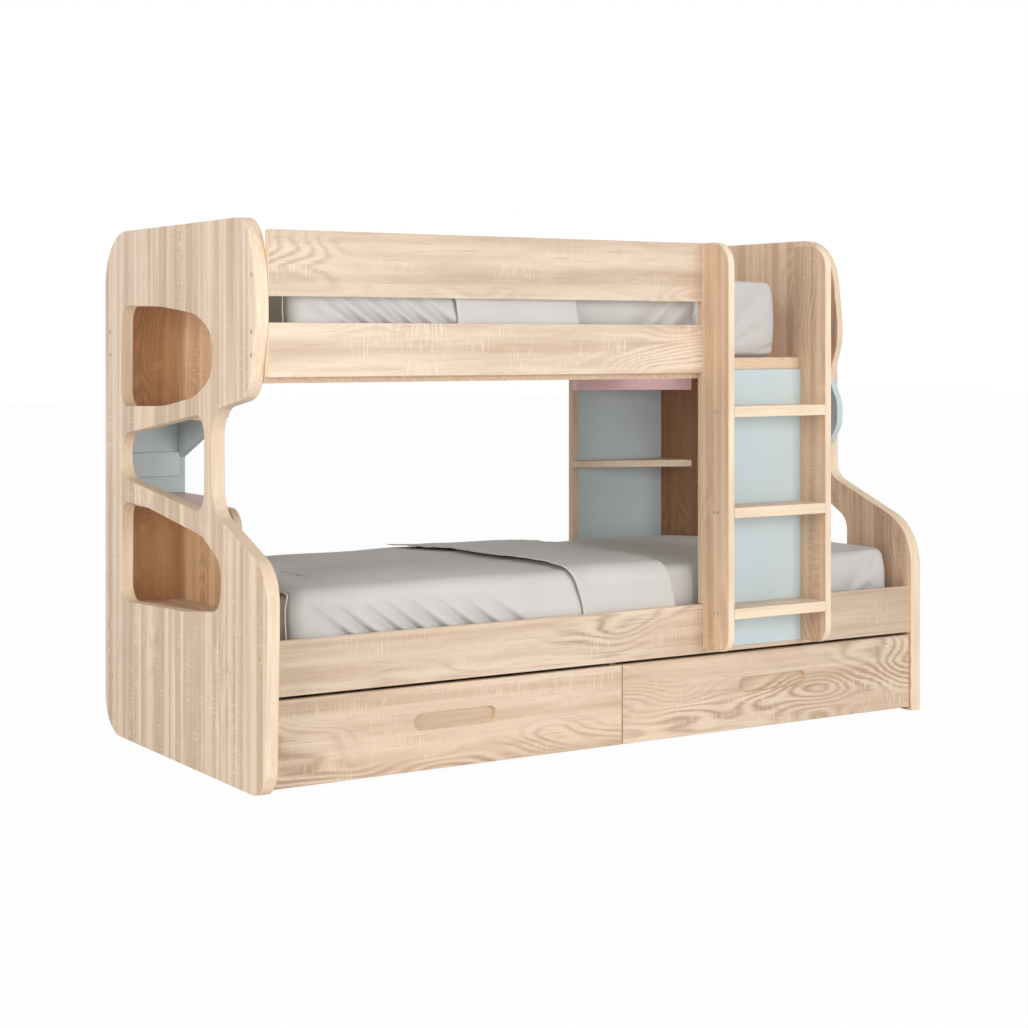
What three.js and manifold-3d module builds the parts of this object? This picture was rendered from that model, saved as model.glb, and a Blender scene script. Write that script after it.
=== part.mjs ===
// Bunk bed with a storage end at the left, a corner shelf at the right, two drawers and a ladder.
// Millimetres, +Z up, +X along the bed from the left end to the right end, +Y from the front to the wall.
// The origin is on the floor under the middle of the whole bed, the ladder included.
// Inside the inner group, X starts at the outer face of the left end and Y at its lower front edge.
import * as THREE from "three";
import { mergeVertices } from "three/addons/utils/BufferGeometryUtils.js";
import Module from "manifold-3d";

const wasm = await Module();
wasm.setup();

// Overall sizes
const bedLength = 2196;
const bedDepth = 1067;
const bedHeight = 1420;

// Boards and gaps
const endBoard = 36;
const board = 22;
const thinBoard = 8;
const edgeRound = 1.5;
const seatGap = 0.3;
const overrun = 10;
const weld = 0.001;

// Rails
const railFront = 64;
const lowerRailBottom = 236;
const lowerRailTop = 373;
const upperRailHeight = 135;
const guardSetDown = 33;
const guardHeight = 164;
const guardGap = 65;
const lowerBackRailBottom = 176;

// Ladder
const ladderSetIn = 786;
const stepWidth = 329;
const ladderFront = -53;
const ladderBottom = 250;
const ladderFootRound = 45;
const ladderTopRound = 90;
const stepThickness = 30;
const firstStepTop = 372;
const lastStepDrop = 134;
const stepCount = 3;
const entryRailDrop = 92;
const entryRailHeight = 34;
const notchGap = 2;

// Shelves in the left end
const nicheDepth = 178;
const lowerFloorLift = 56;
const middleFloorShare = 0.4732;
const upperFloorShare = 0.6521;
const upperWallShare = 0.8718;
const nicheWallFront = 650;
const nicheWallRound = 60;
const nicheFloorFront = 430;
const middleFloorRight = 765;
const upperWallFront = 740;
const blueStripLift = 49;
const blueStripHeight = 71;
const blueStripProud = 10;
const blueBackReach = 62;
const blueBackStep = 60;
const blueBackRound = 50;
const valanceFront = 736;
const valanceDrop = 129;

// Right end: inner wall and corner shelf
const innerWallFront = 162;
const innerWallDrop = 7;
const innerWallNeck = 38;
const innerWallNeckHeight = 109;
const innerWallLean = 33;
const innerWallLeanHeight = 250;
const innerWallRound = 140;
const blueWallHeight = 209;
const blueWallBack = 700;
const blueWallFoot = 48;
const blueWallSlope = 71;
const blueWallRound = 60;
const cornerShelfLength = 362;
const cornerShelfShare = 0.5077;
const cornerShelfLeftDepth = 24;
const cornerShelfRightDepth = 165;
const pinkHeight = 56;

// Drawers
const drawerFloorGap = 11;
const drawerTop = 227;
const drawerGap = 3;
const drawerFrontSetBack = 2;
const drawerDepth = 760;
const drawerSide = 16;
const drawerBoxHeight = 160;
const drawerBoxLift = 22;
const drawerBottomLift = 10;
const gripWidth = 250;
const gripHeight = 44;
const gripDepth = 14;
const gripMiddleHeight = 136;
const runnerHeight = 45;
const runnerThickness = 6;
const runnerPlay = 0.5;
const runnerBottom = 85;
const runnerSetBack = 30;
const runnerLength = 700;

// Slatted bases
const slatCount = 9;
const slatWidth = 70;
const slatThickness = 18;
const cleatHeight = 40;
const cleatThickness = 24;
const lowerBaseTop = 290;

// Bedding
const mattressGap = 16;
const mattressBackGap = 60;
const mattressLeft = 80;
const lowerMattressRightGap = 35;
const lowerMattressHeight = 204;
const upperMattressHeight = 212;
const mattressRound = 40;
const crown = 12;
const notchFrontGap = 30;
const notchSideGap = 14;
const notchCornerGap = 30;
const blanketThickness = 5;
const blanketAir = 0.3;
const blanketInset = 12;
const blanketCornerRound = 34;
const blanketHang = 92;
const blanketRipple = 5;
const upperRipple = 1;
const ripplePitch = 150;
const lowerFoldStart = 993;
const lowerBlanketEnd = 1291;
const upperFoldStart = 585;
const upperBlanketEnd = 970;
const foldRise = 9;

// Places that follow from the sizes
const guardTop = bedHeight - guardSetDown;
const guardBottom = guardTop - guardHeight;
const upperRailTop = guardBottom - guardGap;
const upperRailBottom = upperRailTop - upperRailHeight;
const entryRailTop = upperRailTop - entryRailDrop;
const stepRise = (entryRailTop - lastStepDrop - firstStepTop) / (stepCount - 1);
const nicheBottom = lowerBaseTop + lowerFloorLift;
const lowerFloorTop = nicheBottom + board;
const middleFloorTop = bedHeight * middleFloorShare;
const upperFloorTop = bedHeight * upperFloorShare;
const upperWallTop = bedHeight * upperWallShare;
const cornerShelfTop = bedHeight * cornerShelfShare;
const railBack = railFront + board;
const backFace = bedDepth - board;
const rightInside = bedLength - endBoard;
const nicheWallLeft = endBoard + nicheDepth;
const nicheWallRight = nicheWallLeft + board;
const innerWallRight = rightInside - nicheDepth;
const innerWallLeft = innerWallRight - board;
const upperBaseTop = entryRailTop;
const upperBaseBottom = upperBaseTop - slatThickness - cleatHeight;
const innerWallBottom = upperBaseBottom - innerWallDrop;
const middle = (endBoard + rightInside) / 2;
const ladderLeft = rightInside - ladderSetIn;
const panelFront = railFront - thinBoard;
const stepLeft = ladderLeft + board;
const stepRight = stepLeft + stepWidth;
const mattressFront = railBack + mattressGap;
const mattressBack = backFace - mattressBackGap;
const lowerMattressRight = rightInside - lowerMattressRightGap;
const upperMattressRight = stepRight;

const finish = (color, roughness, metalness = 0) =>
  new THREE.MeshStandardMaterial({ color, roughness, metalness });
const oak = () => finish(0xdcc09c, 0.55);
const blue = () => finish(0xc3d3d8, 0.45);
const pink = () => finish(0xd3aaaa, 0.45);
const pine = () => finish(0xd9c3a0, 0.7);
const steel = () => finish(0xb4b6b8, 0.35, 0.9);
const ticking = () => finish(0xc9c5c3, 0.8);
const cloth = () => finish(0xb9b2b0, 0.6);

const bed = new THREE.Group();
bed.position.set(-bedLength / 2, -(bedDepth + ladderFront) / 2, 0);
const part = new THREE.Group();
part.add(bed);

function add(name, geometry, material) {
  const mesh = new THREE.Mesh(geometry, material);
  mesh.name = name;
  bed.add(mesh);
}

// A closed outline with rounded corners: each corner is [across, up, radius].
function rounded(corners) {
  const shape = new THREE.Shape();
  const count = corners.length;
  for (let i = 0; i < count; i++) {
    const [x, y, radius = 0] = corners[i];
    const here = new THREE.Vector2(x, y);
    const before = new THREE.Vector2().fromArray(corners[(i + count - 1) % count]);
    const after = new THREE.Vector2().fromArray(corners[(i + 1) % count]);
    const back = before.sub(here);
    const ahead = after.sub(here);
    const turn = Math.abs(back.angleTo(ahead)) / 2;
    const room = Math.min(back.length(), ahead.length()) / 2;
    const length = Math.min(radius / Math.tan(turn), room * 0.98);
    const start = back.clone().setLength(length).add(here);
    const end = ahead.clone().setLength(length).add(here);
    if (i === 0) shape.moveTo(start.x, start.y);
    else shape.lineTo(start.x, start.y);
    if (length > 0) {
      // The handles that make a round arc of this corner
      const reach = (4 / 3) * Math.tan((Math.PI / 2 - turn) / 2) * Math.tan(turn);
      const first = start.clone().lerp(here, reach);
      const second = end.clone().lerp(here, reach);
      shape.bezierCurveTo(first.x, first.y, second.x, second.y, end.x, end.y);
    }
  }
  shape.closePath();
  return shape;
}

const rectangle = (x0, x1, y0, y1, radius = 0) =>
  rounded([
    [x0, y0, radius],
    [x1, y0, radius],
    [x1, y1, radius],
    [x0, y1, radius],
  ]);

// A flat board from 0 to its thickness along Z, with eased edges.
function slab(shape, thickness, ease = edgeRound, curveSegments = 6) {
  const geometry = new THREE.ExtrudeGeometry(shape, {
    depth: thickness - 2 * ease,
    bevelEnabled: ease > 0,
    bevelThickness: ease,
    bevelSize: ease,
    bevelOffset: -ease,
    bevelSegments: 1,
    curveSegments,
  });
  return geometry.translate(0, 0, ease);
}

// The outline lies in Y and Z, the thickness runs along X from x0.
function acrossBoard(shape, thickness, x0, ease, curveSegments) {
  const turn = new THREE.Matrix4().makeBasis(
    new THREE.Vector3(0, 1, 0),
    new THREE.Vector3(0, 0, 1),
    new THREE.Vector3(1, 0, 0),
  );
  return slab(shape, thickness, ease, curveSegments).applyMatrix4(turn).translate(x0, 0, 0);
}

// The outline lies in X and Z, the thickness runs along Y from y0.
function alongBoard(shape, thickness, y0, ease, curveSegments) {
  const turn = new THREE.Matrix4().makeBasis(
    new THREE.Vector3(1, 0, 0),
    new THREE.Vector3(0, 0, 1),
    new THREE.Vector3(0, -1, 0),
  );
  return slab(shape, thickness, ease, curveSegments).applyMatrix4(turn).translate(0, y0 + thickness, 0);
}

// The outline lies in X and Y, the thickness runs up from z0.
function levelBoard(shape, thickness, z0, ease, curveSegments) {
  return slab(shape, thickness, ease, curveSegments).translate(0, 0, z0);
}

function block(x0, x1, y0, y1, z0, z1, ease = edgeRound) {
  return levelBoard(rectangle(x0, x1, y0, y1), z1 - z0, z0, ease);
}

function solidOf(geometry) {
  const bare = geometry.clone();
  bare.deleteAttribute("normal");
  bare.deleteAttribute("uv");
  const merged = mergeVertices(bare, weld);
  return new wasm.Manifold(
    new wasm.Mesh({
      numProp: 3,
      vertProperties: new Float32Array(merged.attributes.position.array),
      triVerts: new Uint32Array(merged.index.array),
    }),
  );
}

function geometryOf(solid) {
  const mesh = solid.getMesh();
  const geometry = new THREE.BufferGeometry();
  geometry.setAttribute("position", new THREE.BufferAttribute(mesh.vertProperties, 3));
  geometry.setIndex(new THREE.BufferAttribute(mesh.triVerts, 1));
  geometry.computeVertexNormals();
  return geometry;
}

const cut = (geometry, tool) => geometryOf(solidOf(geometry).subtract(solidOf(tool)));
const join = (...pieces) =>
  geometryOf(pieces.map(solidOf).reduce((whole, piece) => whole.add(piece)));

// Corners of the outlines and windows of the end boards, as shares of the bed's depth, its height
// and, for the radius, its depth.
const leftOutlineShares = [
  [0.013, 0, 0.066],
  [1, 0, 0.103],
  [1, 1, 0.14],
  [0.108, 1, 0.1],
  [0.068, 0.92, 0.2],
  [0.059, 0.85, 0.187],
  [0.059, 0.81, 0.094],
  [0.097, 0.685, 0.075],
  [0.305, 0.659, 0.08],
  [0.302, 0.479, 0.084],
  [0, 0.389, 0.125],
  [0, 0.282, 0],
];
const leftWindowShares = [
  [
    [0.889, 0.655, 0.042],
    [0.884, 0.853, 0.042],
    [0.62, 0.849, 0.8],
    [0.4, 0.833, 0.4],
    [0.315, 0.803, 0.2],
    [0.295, 0.76, 0.2],
    [0.312, 0.718, 0.2],
    [0.4, 0.682, 0.4],
    [0.6, 0.661, 0.8],
  ],
  [
    [0.89, 0.515, 0.062],
    [0.886, 0.599, 0.056],
    [0.349, 0.653, 0.05],
    [0.351, 0.47, 0.047],
  ],
  [
    [0.887, 0.27, 0.047],
    [0.882, 0.468, 0.042],
    [0.712, 0.464, 0.28],
    [0.361, 0.429, 0.14],
    [0.251, 0.386, 0.056],
    [0.253, 0.301, 0.056],
    [0.469, 0.284, 0.19],
  ],
];
const rightOutlineShares = [
  [0.052, 0, 0],
  [1, 0, 0.103],
  [1, 1, 0.14],
  [0.403, 1, 0.14],
  [0.398, 0.486, 0.056],
  [0.052, 0.386, 0.15],
];
const rightWindowShares = [
  [
    [0.889, 0.655, 0.042],
    [0.884, 0.855, 0.042],
    [0.487, 0.84, 0.065],
    [0.487, 0.692, 0.065],
  ],
  [
    [0.89, 0.515, 0.062],
    [0.886, 0.599, 0.056],
    [0.469, 0.643, 0.05],
    [0.469, 0.482, 0.047],
  ],
  [
    [0.887, 0.27, 0.047],
    [0.882, 0.468, 0.042],
    [0.712, 0.464, 0.28],
    [0.42, 0.433, 0.14],
    [0.323, 0.393, 0.056],
    [0.323, 0.304, 0.056],
    [0.54, 0.284, 0.19],
  ],
];

function endShape(outlineShares, windowShares) {
  const placed = (shares) => shares.map(([y, z, r]) => [y * bedDepth, z * bedHeight, r * bedDepth]);
  const shape = rounded(placed(outlineShares));
  for (const shares of windowShares) shape.holes.push(rounded(placed(shares)));
  return shape;
}

function makeEnds() {
  const endSegments = 10;
  const left = endShape(leftOutlineShares, leftWindowShares);
  add("left_end_panel", acrossBoard(left, endBoard, 0, edgeRound, endSegments), oak());
  const right = endShape(rightOutlineShares, rightWindowShares);
  add("right_end_panel", acrossBoard(right, endBoard, rightInside, edgeRound, endSegments), oak());
}

function makeRails() {
  const front = (right, bottom, top) => block(endBoard, right, railFront, railBack, bottom, top);
  add("guard_rail", front(ladderLeft, guardBottom, guardTop), oak());
  add("upper_side_rail", front(ladderLeft, upperRailBottom, upperRailTop), oak());
  add("lower_side_rail", front(rightInside, lowerRailBottom, lowerRailTop), oak());
  const back = (left, right, bottom, top) => block(left, right, backFace, bedDepth, bottom, top);
  add("upper_back_rail", back(nicheWallRight, innerWallLeft, upperRailBottom, upperRailTop), oak());
  add("lower_back_rail", back(endBoard, rightInside, lowerBackRailBottom, nicheBottom), oak());
}

function makeLadder() {
  // Each stile is a board on edge, let in over the lower rail
  const stile = rounded([
    [ladderFront, ladderBottom, ladderFootRound],
    [railFront, ladderBottom],
    [railFront, lowerRailTop + notchGap],
    [railBack, lowerRailTop + notchGap],
    [railBack, guardTop],
    [ladderFront, guardTop, ladderTopRound],
  ]);
  add("ladder_left_stile", acrossBoard(stile, board, ladderLeft), oak());
  add("ladder_right_stile", acrossBoard(stile, board, stepRight), oak());
  for (let i = 0; i < stepCount; i++) {
    const top = firstStepTop + i * stepRise;
    const step = block(stepLeft, stepRight, ladderFront, panelFront, top - stepThickness, top);
    add("ladder_step_" + (i + 1), step, oak());
  }
  const entryBottom = entryRailTop - entryRailHeight;
  const entry = block(stepLeft, stepRight, railFront, railBack, entryBottom, entryRailTop);
  add("entry_rail", entry, oak());
  const panel = block(stepLeft, stepRight, panelFront, railFront, ladderBottom, entryBottom);
  add("ladder_back_panel", panel, blue());
}

// A shelf of the left end: its front edge runs obliquely back from the end board to the inner wall.
function nicheShelf(name, top, right, rightFront, material) {
  const shape = rounded([
    [endBoard, nicheFloorFront],
    [right, rightFront],
    [right, backFace],
    [endBoard, backFace],
  ]);
  add(name, levelBoard(shape, board, top - board), material);
}

function nicheWall(name, front, bottom, top) {
  const shape = rounded([
    [front, bottom],
    [backFace, bottom],
    [backFace, top],
    [front, top, nicheWallRound],
  ]);
  add(name, acrossBoard(shape, board, nicheWallLeft), oak());
}

function makeLeftNiches() {
  nicheShelf("lower_niche_floor", lowerFloorTop, nicheWallLeft, nicheWallFront, oak());
  nicheShelf("middle_niche_floor", middleFloorTop, nicheWallRight, middleFloorRight, pink());
  nicheShelf("upper_niche_floor", upperFloorTop, nicheWallLeft, upperWallFront, oak());
  nicheShelf("upper_niche_top", upperWallTop, nicheWallLeft, upperWallFront, oak());
  nicheWall("lower_niche_wall", nicheWallFront, nicheBottom, middleFloorTop - board);
  nicheWall("upper_niche_wall", upperWallFront, upperFloorTop - board, upperWallTop);

  const back = (right, bottom, top) =>
    alongBoard(rectangle(endBoard, right, bottom, top), board, backFace);
  add("lower_niche_back", back(nicheWallRight, nicheBottom, middleFloorTop), oak());
  add("upper_niche_back", back(nicheWallRight, upperFloorTop, upperWallTop), oak());

  // The blue back widens at its top, and a thicker strip lies across it
  const reach = nicheWallRight + blueBackReach;
  const shoulder = upperFloorTop - blueBackStep;
  const blueShape = rounded([
    [endBoard, middleFloorTop],
    [nicheWallRight, middleFloorTop],
    [nicheWallRight, shoulder - blueBackReach, blueBackRound],
    [reach, shoulder],
    [reach, upperFloorTop],
    [endBoard, upperFloorTop],
  ]);
  const stripBack = (backFace + bedDepth) / 2;
  const stripBottom = middleFloorTop + blueStripLift;
  const stripTop = stripBottom + blueStripHeight;
  const stripFront = backFace - blueStripProud;
  const strip = block(endBoard, nicheWallLeft, stripFront, stripBack, stripBottom, stripTop);
  add("middle_niche_back", join(alongBoard(blueShape, board, backFace), strip), blue());

  const valanceBottom = upperFloorTop - board - valanceDrop;
  const valance = rounded([
    [valanceFront, upperFloorTop - board],
    [backFace, valanceBottom],
    [backFace, upperFloorTop - board],
  ]);
  add("middle_niche_valance", acrossBoard(valance, board, nicheWallLeft), blue());
}

function makeRightCorner() {
  const left = innerWallLeft - cornerShelfLength;
  const wedge = rounded([
    [left, backFace - cornerShelfLeftDepth],
    [innerWallLeft, backFace - cornerShelfRightDepth],
    [innerWallLeft, backFace],
    [left, backFace],
  ]);
  add("corner_shelf", levelBoard(wedge, board, cornerShelfTop - board), oak());
  add("corner_top", levelBoard(wedge, pinkHeight, upperBaseBottom - pinkHeight), pink());
  const sideRight = left + board;
  const side = block(left, sideRight, backFace, bedDepth, nicheBottom, upperBaseBottom);
  add("corner_side", side, oak());
  const back = rectangle(sideRight, innerWallLeft, nicheBottom, upperBaseBottom);
  add("corner_back", alongBoard(back, board, backFace), blue());
}

// The inner wall beside the upper bed stands on a blue panel with a round nose and a wooden side.
function makeInnerWall() {
  const neck = innerWallFront + innerWallNeck;
  const wall = rounded([
    [neck, innerWallBottom],
    [bedDepth, innerWallBottom],
    [bedDepth, bedHeight, innerWallRound],
    [innerWallFront + innerWallLean, bedHeight, innerWallRound],
    [innerWallFront, bedHeight - innerWallLeanHeight, innerWallRound],
    [innerWallFront, innerWallBottom + innerWallNeckHeight, innerWallRound],
  ]);
  add("inner_wall", acrossBoard(wall, board, innerWallLeft), oak());
  const blueBottom = innerWallBottom - blueWallHeight;
  const nose = rounded([
    [neck, innerWallBottom],
    [innerWallFront, innerWallBottom - blueWallSlope, blueWallRound],
    [innerWallFront, blueBottom + blueWallSlope, blueWallRound],
    [innerWallFront + blueWallFoot, blueBottom, blueWallRound],
    [blueWallBack, blueBottom],
    [blueWallBack, innerWallBottom],
  ]);
  add("blue_side_wall", acrossBoard(nose, board, innerWallLeft), blue());
  const side = rectangle(blueWallBack, bedDepth, nicheBottom, innerWallBottom);
  add("corner_wall", acrossBoard(side, board, innerWallLeft), oak());
}

function makeRightNiches() {
  const shelf = rectangle(innerWallRight, rightInside, blueWallBack, backFace);
  const level = (top) => levelBoard(shelf, board, top - board);
  add("right_lower_niche_floor", level(lowerFloorTop), oak());
  add("right_middle_niche_floor", level(middleFloorTop), pink());
  add("right_upper_niche_floor", level(upperFloorTop), oak());
  const back = rectangle(innerWallRight, rightInside, nicheBottom, upperWallTop);
  add("right_niche_back", alongBoard(back, board, backFace), oak());
}

// A drawer between two faces: a front with a sunk grip, a box and its runners.
function makeDrawer(side, frontLeft, frontRight, faceLeft, faceRight) {
  const frontY = railFront - drawerFrontSetBack;
  const boxFront = frontY + board;
  const boxBack = boxFront + drawerDepth;
  const boxBottom = drawerFloorGap + drawerBoxLift;
  const boxTop = boxBottom + drawerBoxHeight;
  const front = alongBoard(rectangle(frontLeft, frontRight, drawerFloorGap, drawerTop), board, frontY);
  const gripLeft = (frontLeft + frontRight - gripWidth) / 2;
  const gripBottom = gripMiddleHeight - gripHeight / 2;
  const gripRight = gripLeft + gripWidth;
  const gripTop = gripBottom + gripHeight;
  const gripShape = rectangle(gripLeft, gripRight, gripBottom, gripTop, gripHeight / 2);
  const gripTool = alongBoard(gripShape, gripDepth + overrun, frontY - overrun, 0, 10);
  add(side + "_drawer_front", cut(front, gripTool), oak());

  const runnerRoom = 2 * runnerThickness + runnerPlay;
  const boxLeft = faceLeft + runnerRoom;
  const boxRight = faceRight - runnerRoom;
  const boxBoard = (x0, x1, y0, y1, z0, z1) => block(x0, x1, y0, y1, z0, z1, edgeRound / 2);
  const innerLeft = boxLeft + drawerSide;
  const innerRight = boxRight - drawerSide;
  const backFront = boxBack - drawerSide;
  const leftSide = boxBoard(boxLeft, innerLeft, boxFront, boxBack, boxBottom, boxTop);
  const rightSide = boxBoard(innerRight, boxRight, boxFront, boxBack, boxBottom, boxTop);
  add(side + "_drawer_left_side", leftSide, oak());
  add(side + "_drawer_right_side", rightSide, oak());
  const back = boxBoard(innerLeft, innerRight, backFront, boxBack, boxBottom, boxTop);
  add(side + "_drawer_back", back, oak());
  const bottomBoard = boxBottom + drawerBottomLift;
  const bottomTop = bottomBoard + thinBoard;
  const bottom = boxBoard(innerLeft, innerRight, boxFront, backFront, bottomBoard, bottomTop);
  add(side + "_drawer_bottom", bottom, oak());

  const runnerFront = boxFront + runnerSetBack;
  const runnerBack = runnerFront + runnerLength;
  const runnerTop = runnerBottom + runnerHeight;
  const runner = (x0) =>
    block(x0, x0 + runnerThickness, runnerFront, runnerBack, runnerBottom, runnerTop, 0);
  add(side + "_fixed_runner_left", runner(faceLeft), steel());
  add(side + "_moving_runner_left", runner(boxLeft - runnerThickness), steel());
  add(side + "_fixed_runner_right", runner(faceRight - runnerThickness), steel());
  add(side + "_moving_runner_right", runner(boxRight), steel());
}

function makeDrawers() {
  const dividerLeft = middle - board / 2;
  const dividerRight = middle + board / 2;
  const front = railBack + cleatThickness;
  const back = backFace - cleatThickness;
  const divider = block(dividerLeft, dividerRight, front, back, 0, lowerBaseTop - slatThickness);
  add("centre_divider", divider, oak());
  const left = endBoard + drawerGap;
  const right = rightInside - drawerGap;
  makeDrawer("left", left, middle - drawerGap / 2, endBoard, dividerLeft);
  makeDrawer("right", middle + drawerGap / 2, right, dividerRight, rightInside);
}

// Cleats along both rails carry slats across the bed. From turnX on, the front runs obliquely to turnY.
function makeBase(name, frontLeft, backLeft, right, top, turnX, turnY) {
  const slatBottom = top - slatThickness;
  const cleatBottom = slatBottom - cleatHeight;
  const backCleatFront = backFace - cleatThickness;
  const frontCleat = rounded([
    [frontLeft, railBack],
    [turnX, railBack],
    [right, turnY],
    [right, turnY + cleatThickness],
    [turnX, railBack + cleatThickness],
    [frontLeft, railBack + cleatThickness],
  ]);
  const pieces = [
    levelBoard(frontCleat, cleatHeight, cleatBottom, 0),
    block(backLeft, right, backCleatFront, backFace, cleatBottom, slatBottom, 0),
  ];
  const pitch = (right - backLeft - slatWidth) / (slatCount - 1);
  for (let i = 0; i < slatCount; i++) {
    const x = backLeft + i * pitch;
    const past = Math.max(0, (x + slatWidth - turnX) / (right - turnX));
    const front = railBack + past * (turnY - railBack);
    pieces.push(block(x, x + slatWidth, front, backFace, slatBottom, top, 0));
  }
  add(name, join(...pieces), pine());
}

// Height and inset of each ring of a mattress, as shares of its height and of its crown
const ringHeightShares = [0, 0.06, 0.3, 0.62, 0.86, 0.97];
const ringInsetShares = [2.2, 0.6, 0, 0.1, 0.7, 2.4];
const crownReachShares = [0.28, 0.75];
const crownHeightShares = [0.55, 0.1];

// A mattress: sides drawn in at the seams and a gently crowned top. Its plan is cut away at the back
// left round the shelves, and at the back right where backRight lies short of right.
function makeMattress(name, right, backRight, bottom, height) {
  const notchX = nicheWallRight + notchSideGap;
  const corners = [
    [mattressLeft, mattressFront, mattressRound],
    [right, mattressFront, mattressRound],
    [backRight, mattressBack, mattressRound],
    [notchX, mattressBack, mattressRound],
    [notchX, nicheWallFront - notchCornerGap, mattressRound],
    [mattressLeft, nicheFloorFront + notchFrontGap, mattressRound],
  ];
  if (backRight < right) {
    const notchY = nicheWallFront - notchCornerGap;
    corners.splice(2, 0, [right, notchY, mattressRound], [backRight, notchY, mattressRound]);
  }
  const plan = rounded(corners);
  const outline = plan.getPoints(5);
  if (outline[0].distanceTo(outline[outline.length - 1]) < weld) outline.pop();
  const centre = new THREE.Vector2((notchX + right) / 2, (mattressFront + nicheFloorFront) / 2);
  const reach = new THREE.Vector2(right - mattressLeft, mattressBack - mattressFront).multiplyScalar(0.5);
  const rings = ringHeightShares.map((share, i) => {
    const inset = ringInsetShares[i] * crown;
    return [bottom + share * (height - crown), 1 - inset / reach.x, 1 - inset / reach.y];
  });
  crownReachShares.forEach((share, i) => {
    const [, x, y] = rings[ringHeightShares.length - 1];
    const z = bottom + height - crownHeightShares[i] * crown;
    rings.push([z, x * (1 - share), y * (1 - share)]);
  });
  const count = outline.length;
  const positions = [];
  for (const [z, sx, sy] of rings) {
    for (const point of outline) {
      const x = centre.x + (point.x - centre.x) * sx;
      const y = centre.y + (point.y - centre.y) * sy;
      positions.push(x, y, z);
    }
  }
  const last = rings.length - 1;
  positions.push(centre.x, centre.y, bottom, centre.x, centre.y, bottom + height);
  const low = rings.length * count;
  const index = [];
  for (let i = 0; i < count; i++) {
    const j = (i + 1) % count;
    index.push(low, j, i);
    index.push(low + 1, last * count + i, last * count + j);
    for (let k = 0; k < last; k++) {
      const a = k * count + i;
      const b = k * count + j;
      index.push(a, b, b + count, a, b + count, a + count);
    }
  }
  add(name, surface(positions, index), ticking());
}

function surface(positions, index) {
  const geometry = new THREE.BufferGeometry();
  geometry.setAttribute("position", new THREE.Float32BufferAttribute(positions, 3));
  geometry.setIndex(index);
  geometry.computeVertexNormals();
  return geometry;
}

// How the blanket's left part eases back, and how its waves drift
const backEaseShare = 0.2;
const driftShare = 0.6;
const driftRateShare = 0.37;

// A blanket laid on a mattress: flat on top, round over the front edge, then hanging in soft folds.
// From foldStart to its end it is turned back on itself and lies double.
function makeBlanket(name, foldStart, end, topHeight, ripple) {
  const left = nicheWallRight + notchSideGap;
  const start = mattressLeft + blanketInset;
  const back = mattressBack - blanketInset;
  const topZ = topHeight + blanketAir;
  const frontY = mattressFront - blanketAir;
  const round = blanketCornerRound;
  // The section, as [how far out from the corner's centre in Y, up in Z, share of the hang]
  const section = [];
  const flatSteps = 4;
  const roundSteps = 4;
  const hangSteps = 4;
  for (let i = 0; i < flatSteps; i++) {
    const share = i / flatSteps;
    section.push([back + (frontY + round - back) * share, topZ, 0, 1, 0]);
  }
  for (let i = 0; i <= roundSteps; i++) {
    const angle = (Math.PI / 2) * (i / roundSteps);
    const up = Math.cos(angle);
    const out = Math.sin(angle);
    section.push([frontY + round - round * out, topZ - round + round * up, -out, up, 0]);
  }
  for (let i = 1; i <= hangSteps; i++) {
    const share = i / hangSteps;
    section.push([frontY, topZ - round - share * (blanketHang - round), -1, 0, share]);
  }
  const columns = [];
  const plainSteps = 24;
  const foldSteps = 8;
  const plainLength = foldStart - foldRise - start;
  for (let i = 0; i <= plainSteps; i++) columns.push(start + (plainLength * i) / plainSteps);
  for (let i = 0; i <= foldSteps; i++) columns.push(foldStart + ((end - foldStart) * i) / foldSteps);
  const outer = [];
  const inner = [];
  for (const x of columns) {
    const layers = x < foldStart ? 1 : 2;
    const turn = (2 * Math.PI * x) / ripplePitch;
    for (const [y0, z0, ny, nz, hang] of section) {
      // The back of the blanket keeps clear of the inner wall of the shelves
      const clearBack = x < left ? nicheFloorFront : back;
      const y = Math.min(y0, clearBack - (back - y0) * backEaseShare);
      const drift = driftShare * Math.sin(driftRateShare * turn);
      const wave = (ripple * hang * (1 + Math.sin(turn + drift))) / 2;
      const thick = blanketThickness * layers;
      inner.push([x, y - wave, z0]);
      outer.push([x, y + ny * thick - wave, z0 + nz * thick]);
    }
  }
  const rows = section.length;
  const cols = columns.length;
  const positions = [...outer, ...inner].flat();
  const under = rows * cols;
  const index = [];
  const quad = (a, b, c, d) => index.push(a, b, c, a, c, d);
  for (let i = 0; i < cols - 1; i++) {
    for (let k = 0; k < rows - 1; k++) {
      const a = i * rows + k;
      quad(a, a + 1, a + 1 + rows, a + rows);
      quad(under + a, under + a + rows, under + a + 1 + rows, under + a + 1);
    }
    const first = i * rows;
    const hem = first + rows - 1;
    quad(first, first + rows, under + first + rows, under + first);
    quad(hem + rows, hem, under + hem, under + hem + rows);
  }
  for (let k = 0; k < rows - 1; k++) {
    const far = (cols - 1) * rows + k;
    quad(k + 1, k, under + k, under + k + 1);
    quad(far, far + 1, under + far + 1, under + far);
  }
  add(name, surface(positions, index), cloth());
}

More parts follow.
